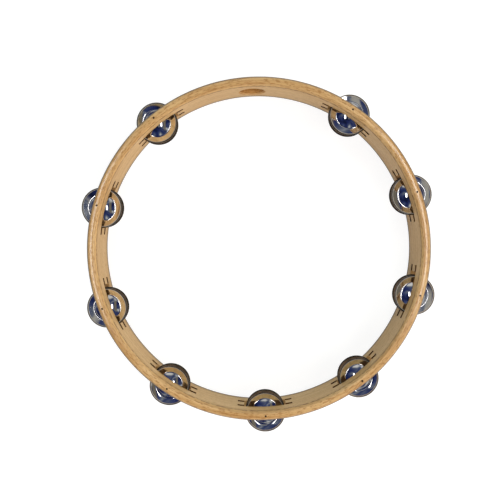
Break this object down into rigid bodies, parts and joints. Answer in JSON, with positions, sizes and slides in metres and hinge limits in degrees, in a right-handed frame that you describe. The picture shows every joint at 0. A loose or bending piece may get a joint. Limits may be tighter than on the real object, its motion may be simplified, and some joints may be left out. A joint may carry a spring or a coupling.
{
  "type": "headless tambourine",
  "caption": "Round bent-wood tambourine hoop without a skin: domed metal jingles rattle in pairs on steel pins in its slots, and a thumb hole marks the grip.",
  "frame": {"origin": "on the hoop's axis, in the plane of its rear edge, on which it lies", "axes": "+Z along the hoop's axis from the rear edge to the front edge, +Y from the axis through the thumb hole, +X to the right of it as seen from the front"},
  "size_m": [0.3184, 0.3205, 0.0445],
  "materials": {
    "hoop_wood": "golden tan beech under clear satin varnish",
    "jingle_metal": "polished nickel plate on stamped steel",
    "pin_steel": "plain drawn steel wire, dulled"
  },
  "bodies": {
    "hoop": {"hoop_shell": "hoop_wood", "jingle_pin_1": "pin_steel", "jingle_pin_2": "pin_steel", "jingle_pin_3": "pin_steel", "jingle_pin_4": "pin_steel", "jingle_pin_5": "pin_steel", "jingle_pin_6": "pin_steel", "jingle_pin_7": "pin_steel", "jingle_pin_8": "pin_steel", "jingle_pin_9": "pin_steel"},
    "front_jingle_1": {"front_jingle_1": "jingle_metal"},
    "front_jingle_2": {"front_jingle_2": "jingle_metal"},
    "front_jingle_3": {"front_jingle_3": "jingle_metal"},
    "front_jingle_4": {"front_jingle_4": "jingle_metal"},
    "front_jingle_5": {"front_jingle_5": "jingle_metal"},
    "front_jingle_6": {"front_jingle_6": "jingle_metal"},
    "front_jingle_7": {"front_jingle_7": "jingle_metal"},
    "front_jingle_8": {"front_jingle_8": "jingle_metal"},
    "front_jingle_9": {"front_jingle_9": "jingle_metal"},
    "rear_jingle_1": {"rear_jingle_1": "jingle_metal"},
    "rear_jingle_2": {"rear_jingle_2": "jingle_metal"},
    "rear_jingle_3": {"rear_jingle_3": "jingle_metal"},
    "rear_jingle_4": {"rear_jingle_4": "jingle_metal"},
    "rear_jingle_5": {"rear_jingle_5": "jingle_metal"},
    "rear_jingle_6": {"rear_jingle_6": "jingle_metal"},
    "rear_jingle_7": {"rear_jingle_7": "jingle_metal"},
    "rear_jingle_8": {"rear_jingle_8": "jingle_metal"},
    "rear_jingle_9": {"rear_jingle_9": "jingle_metal"}
  },
  "joints": [
    {"name": "front_jingle_1_slide", "type": "slide", "parent": "hoop", "child": "front_jingle_1", "axis": [0, 0, -1], "range_m": [0, 0.0034]},
    {"name": "front_jingle_2_slide", "type": "slide", "parent": "hoop", "child": "front_jingle_2", "axis": [0, 0, -1], "range_m": [0, 0.0034]},
    {"name": "front_jingle_3_slide", "type": "slide", "parent": "hoop", "child": "front_jingle_3", "axis": [0, 0, -1], "range_m": [0, 0.0034]},
    {"name": "front_jingle_4_slide", "type": "slide", "parent": "hoop", "child": "front_jingle_4", "axis": [0, 0, -1], "range_m": [0, 0.0034]},
    {"name": "front_jingle_5_slide", "type": "slide", "parent": "hoop", "child": "front_jingle_5", "axis": [0, 0, -1], "range_m": [0, 0.0034]},
    {"name": "front_jingle_6_slide", "type": "slide", "parent": "hoop", "child": "front_jingle_6", "axis": [0, 0, -1], "range_m": [0, 0.0034]},
    {"name": "front_jingle_7_slide", "type": "slide", "parent": "hoop", "child": "front_jingle_7", "axis": [0, 0, -1], "range_m": [0, 0.0034]},
    {"name": "front_jingle_8_slide", "type": "slide", "parent": "hoop", "child": "front_jingle_8", "axis": [0, 0, -1], "range_m": [0, 0.0034]},
    {"name": "front_jingle_9_slide", "type": "slide", "parent": "hoop", "child": "front_jingle_9", "axis": [0, 0, -1], "range_m": [0, 0.0034]},
    {"name": "rear_jingle_1_slide", "type": "slide", "parent": "hoop", "child": "rear_jingle_1", "axis": [0, 0, 1], "range_m": [0, 0.0034]},
    {"name": "rear_jingle_2_slide", "type": "slide", "parent": "hoop", "child": "rear_jingle_2", "axis": [0, 0, 1], "range_m": [0, 0.0034]},
    {"name": "rear_jingle_3_slide", "type": "slide", "parent": "hoop", "child": "rear_jingle_3", "axis": [0, 0, 1], "range_m": [0, 0.0034]},
    {"name": "rear_jingle_4_slide", "type": "slide", "parent": "hoop", "child": "rear_jingle_4", "axis": [0, 0, 1], "range_m": [0, 0.0034]},
    {"name": "rear_jingle_5_slide", "type": "slide", "parent": "hoop", "child": "rear_jingle_5", "axis": [0, 0, 1], "range_m": [0, 0.0034]},
    {"name": "rear_jingle_6_slide", "type": "slide", "parent": "hoop", "child": "rear_jingle_6", "axis": [0, 0, 1], "range_m": [0, 0.0034]},
    {"name": "rear_jingle_7_slide", "type": "slide", "parent": "hoop", "child": "rear_jingle_7", "axis": [0, 0, 1], "range_m": [0, 0.0034]},
    {"name": "rear_jingle_8_slide", "type": "slide", "parent": "hoop", "child": "rear_jingle_8", "axis": [0, 0, 1], "range_m": [0, 0.0034]},
    {"name": "rear_jingle_9_slide", "type": "slide", "parent": "hoop", "child": "rear_jingle_9", "axis": [0, 0, 1], "range_m": [0, 0.0034]}
  ]
}
